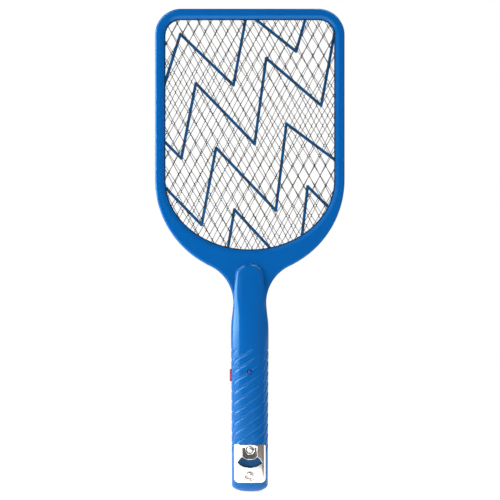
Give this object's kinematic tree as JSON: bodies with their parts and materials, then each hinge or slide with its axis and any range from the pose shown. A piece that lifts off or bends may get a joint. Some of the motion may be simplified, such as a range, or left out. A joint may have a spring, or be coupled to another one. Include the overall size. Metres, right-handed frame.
{
  "type": "electric fly swatter",
  "caption": "Handheld electric fly swatter: blue racket head with twin expanded-metal electrodes and a zigzag spacer, grooved handle, side push button, battery door and chrome cap lifter.",
  "frame": {"origin": "bottom centre of the bounding box, at the middle of the handle's flat end", "axes": "+Z along the handle to the head tip, -Y out of the front face with the indicator and the cap lifter, +X to the viewer's right"},
  "size_m": [0.1966, 0.031, 0.5],
  "materials": {
    "blue_shell": "glossy moulded plastic, fine-grained",
    "navy_spacer": "satin moulded plastic",
    "electrode_steel": "dark zinc-plated expanded metal",
    "polished_chrome": "bright polished plating",
    "zinc_steel": "zinc-plated steel",
    "red_button": "glossy moulded plastic",
    "black_parts": "moulded black epoxy and plastic",
    "led_lens": "translucent red epoxy lens",
    "board_laminate": "green solder mask on glass-epoxy laminate",
    "ferrite": "sintered ferrite",
    "winding_tape": "yellow polyester winding tape",
    "film_capacitor": "dipped brown-red epoxy",
    "resistor_body": "tan lacquer",
    "cell_jacket": "printed plastic jacket, plain, with metal ends",
    "wire_red": "PVC insulation",
    "wire_black": "PVC insulation"
  },
  "bodies": {
    "swatter": {"battery_1": "cell_jacket", "battery_2": "cell_jacket", "battery_bridge_contact": "zinc_steel", "battery_flat_contact": "zinc_steel", "battery_lead_negative": "wire_black", "battery_lead_positive": "wire_red", "battery_spring_contact": "zinc_steel", "bottle_opener": "polished_chrome", "circuit_board": "board_laminate", "driver_transistor": "black_parts", "front_mesh": "electrode_steel", "front_shell": "blue_shell", "handle_screw_1": "zinc_steel", "handle_screw_2": "zinc_steel", "handle_screw_3": "zinc_steel", "head_screw_1": "zinc_steel", "head_screw_2": "zinc_steel", "head_screw_3": "zinc_steel", "head_screw_4": "zinc_steel", "head_screw_5": "zinc_steel", "head_screw_6": "zinc_steel", "head_screw_7": "zinc_steel", "head_screw_8": "zinc_steel", "high_voltage_wire_front": "wire_red", "high_voltage_wire_rear": "wire_black", "indicator_led": "led_lens", "main_capacitor": "film_capacitor", "multiplier_capacitor_1": "film_capacitor", "multiplier_capacitor_2": "film_capacitor", "multiplier_capacitor_3": "film_capacitor", "multiplier_diode_1": "black_parts", "multiplier_diode_2": "black_parts", "multiplier_diode_3": "black_parts", "opener_screw_1": "polished_chrome", "opener_screw_2": "polished_chrome", "rear_mesh": "electrode_steel", "rear_shell": "blue_shell", "resistor_1": "resistor_body", "resistor_2": "resistor_body", "resistor_3": "resistor_body", "spacer_frame": "navy_spacer", "switch_body": "black_parts", "transformer_core": "ferrite", "transformer_winding": "winding_tape"},
    "button": {"power_button": "red_button", "switch_plunger": "black_parts"},
    "battery_cover": {"battery_door": "blue_shell"}
  },
  "joints": [
    {"name": "button_press", "type": "slide", "parent": "swatter", "child": "button", "axis": [1, 0, 0], "range_m": [0, 0.0012], "stiffness_N_per_m": 800, "springref_m": -0.001},
    {"name": "battery_door_hinge", "type": "hinge", "parent": "swatter", "child": "battery_cover", "pos_m": [0, 0.0155, 0.0506], "axis": [-1, 0, 0], "range_deg": [0, 60]}
  ]
}
